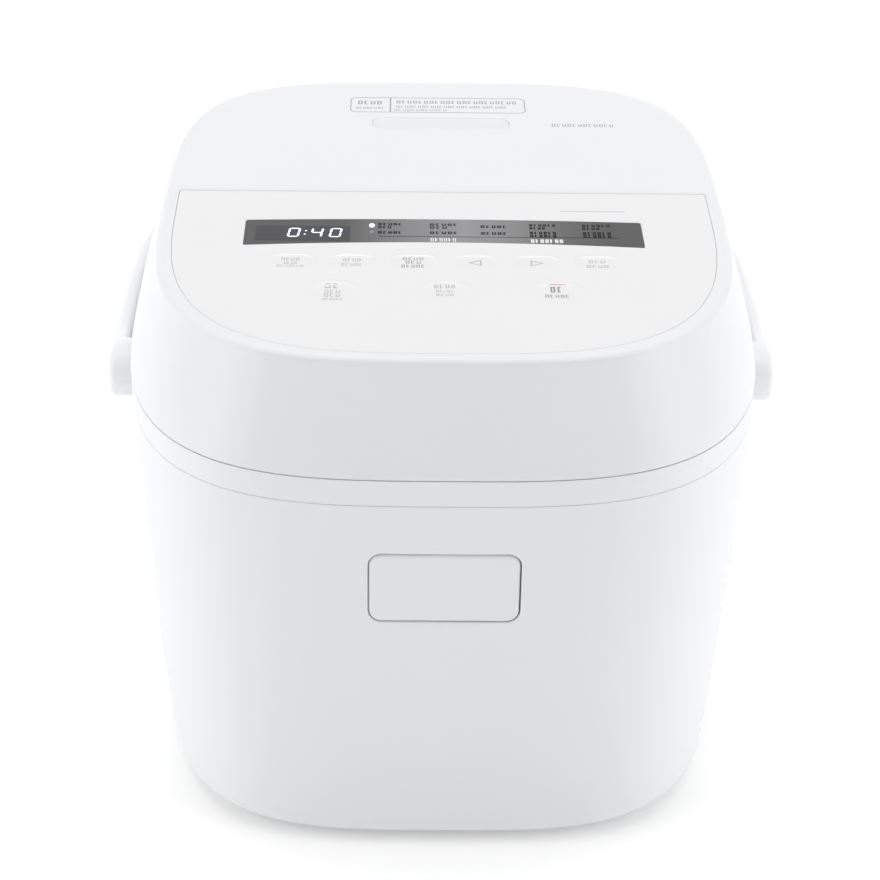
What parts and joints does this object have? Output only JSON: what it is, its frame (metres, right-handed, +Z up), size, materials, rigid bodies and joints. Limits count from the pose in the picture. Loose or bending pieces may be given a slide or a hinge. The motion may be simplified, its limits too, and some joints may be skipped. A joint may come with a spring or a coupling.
{
  "type": "rice cooker",
  "caption": "Tabletop rice cooker with a rear-hinged lid, control panel and clock display, front release button, fold-back carrying handle and removable inner pot.",
  "frame": {"origin": "middle of the footprint, on the surface the feet stand on", "axes": "+X to the right seen from the front, +Y from the front to the rear, +Z up"},
  "size_m": [0.2516, 0.3114, 0.1966],
  "materials": {
    "white_housing": "satin gloss moulded plastic",
    "panel_film": "smooth gloss film",
    "inner_plastic": "fine matte moulded plastic",
    "dark_window": "polished smoked window",
    "black_plastic": "fine matte moulded plastic",
    "circuit_board": "solder mask",
    "steel": "bright drawn steel",
    "aluminium": "spun and brushed",
    "pot_coating": "dark non-stick coating",
    "copper": "enamelled copper winding",
    "rubber_feet": "matte rubber",
    "silicone_seal": "translucent silicone"
  },
  "bodies": {
    "body": {"outer_shell": "white_housing", "top_frame": "white_housing", "base_plate": "inner_plastic", "coil_carrier": "black_plastic", "fan_frame": "black_plastic", "power_inlet": "black_plastic", "power_board": "circuit_board", "base_screw_1": "steel", "base_screw_2": "steel", "base_screw_3": "steel", "base_screw_4": "steel", "sensor_spring": "steel", "hook_pin": "steel", "hook_spring": "steel", "hinge_pin": "steel", "hinge_spring_left": "steel", "hinge_spring_right": "steel", "handle_pivot_left": "steel", "handle_pivot_right": "steel", "pot_well": "aluminium", "heat_sink": "aluminium", "inner_pot": "pot_coating", "induction_coil": "copper", "foot_front_left": "rubber_feet", "foot_front_right": "rubber_feet", "foot_rear_left": "rubber_feet", "foot_rear_right": "rubber_feet"},
    "lid": {"lid_shell": "white_housing", "control_panel": "panel_film", "display_window": "dark_window", "display_module": "black_plastic", "control_board": "circuit_board", "steam_duct": "inner_plastic", "lid_frame": "inner_plastic", "inner_lid": "aluminium", "inner_lid_gasket": "silicone_seal", "inner_lid_knob": "rubber_feet", "lid_heater": "copper"},
    "carrying_handle": {"carrying_handle": "white_housing"},
    "release_button": {"release_button": "white_housing"},
    "latch_hook": {"latch_hook": "inner_plastic"},
    "steam_vent_cap": {"steam_vent_cap": "white_housing"},
    "temperature_sensor": {"temperature_sensor": "aluminium"},
    "fan_impeller": {"fan_impeller": "black_plastic"},
    "key_keep_warm": {"key_keep_warm": "panel_film"},
    "key_taste": {"key_taste": "panel_film"},
    "key_timer": {"key_timer": "panel_film"},
    "key_left": {"key_left": "panel_film"},
    "key_right": {"key_right": "panel_film"},
    "key_menu": {"key_menu": "panel_film"},
    "key_cancel": {"key_cancel": "panel_film"},
    "key_quick": {"key_quick": "panel_film"},
    "key_start": {"key_start": "panel_film"}
  },
  "joints": [
    {"name": "lid_hinge", "type": "hinge", "parent": "body", "child": "lid", "pos_m": [0, 0.1351, 0.1581], "axis": [-1, 0, 0], "range_deg": [0, 85]},
    {"name": "handle_swing", "type": "hinge", "parent": "body", "child": "carrying_handle", "pos_m": [0, -0.0283, 0.137], "axis": [1, 0, 0], "range_deg": [0, 90]},
    {"name": "button_push", "type": "slide", "parent": "body", "child": "release_button", "axis": [0, 1, 0], "range_m": [0, 0.003], "stiffness_N_per_m": 800},
    {"name": "hook_tilt", "type": "hinge", "parent": "body", "child": "latch_hook", "pos_m": [0, -0.1403, 0.143], "axis": [1, 0, 0], "range_deg": [0, 6.7]},
    {"name": "vent_cap_lift", "type": "slide", "parent": "lid", "child": "steam_vent_cap", "axis": [0, 0, 1], "range_m": [0, 0.035]},
    {"name": "sensor_travel", "type": "slide", "parent": "body", "child": "temperature_sensor", "axis": [0, 0, 1], "range_m": [-0.003, 0], "stiffness_N_per_m": 300, "springref_m": 0.002, "deforming": ["sensor_spring"]},
    {"name": "fan_spin", "type": "hinge", "parent": "body", "child": "fan_impeller", "pos_m": [0, 0.0907, 0.017], "axis": [0, 0, 1], "continuous": true},
    {"name": "key_keep_warm_press", "type": "slide", "parent": "lid", "child": "key_keep_warm", "axis": [0, 0, -1], "range_m": [0, 0.0005], "stiffness_N_per_m": 500},
    {"name": "key_taste_press", "type": "slide", "parent": "lid", "child": "key_taste", "axis": [0, 0, -1], "range_m": [0, 0.0005], "stiffness_N_per_m": 500},
    {"name": "key_timer_press", "type": "slide", "parent": "lid", "child": "key_timer", "axis": [0, 0, -1], "range_m": [0, 0.0005], "stiffness_N_per_m": 500},
    {"name": "key_left_press", "type": "slide", "parent": "lid", "child": "key_left", "axis": [0, 0, -1], "range_m": [0, 0.0005], "stiffness_N_per_m": 500},
    {"name": "key_right_press", "type": "slide", "parent": "lid", "child": "key_right", "axis": [0, 0, -1], "range_m": [0, 0.0005], "stiffness_N_per_m": 500},
    {"name": "key_menu_press", "type": "slide", "parent": "lid", "child": "key_menu", "axis": [0, 0, -1], "range_m": [0, 0.0005], "stiffness_N_per_m": 500},
    {"name": "key_cancel_press", "type": "slide", "parent": "lid", "child": "key_cancel", "axis": [0, 0, -1], "range_m": [0, 0.0005], "stiffness_N_per_m": 500},
    {"name": "key_quick_press", "type": "slide", "parent": "lid", "child": "key_quick", "axis": [0, 0, -1], "range_m": [0, 0.0005], "stiffness_N_per_m": 500},
    {"name": "key_start_press", "type": "slide", "parent": "lid", "child": "key_start", "axis": [0, 0, -1], "range_m": [0, 0.0005], "stiffness_N_per_m": 500}
  ],
  "couplings": [
    {"joint": "hook_tilt", "follows": "button_push", "rad_per_m": 38.462}
  ]
}
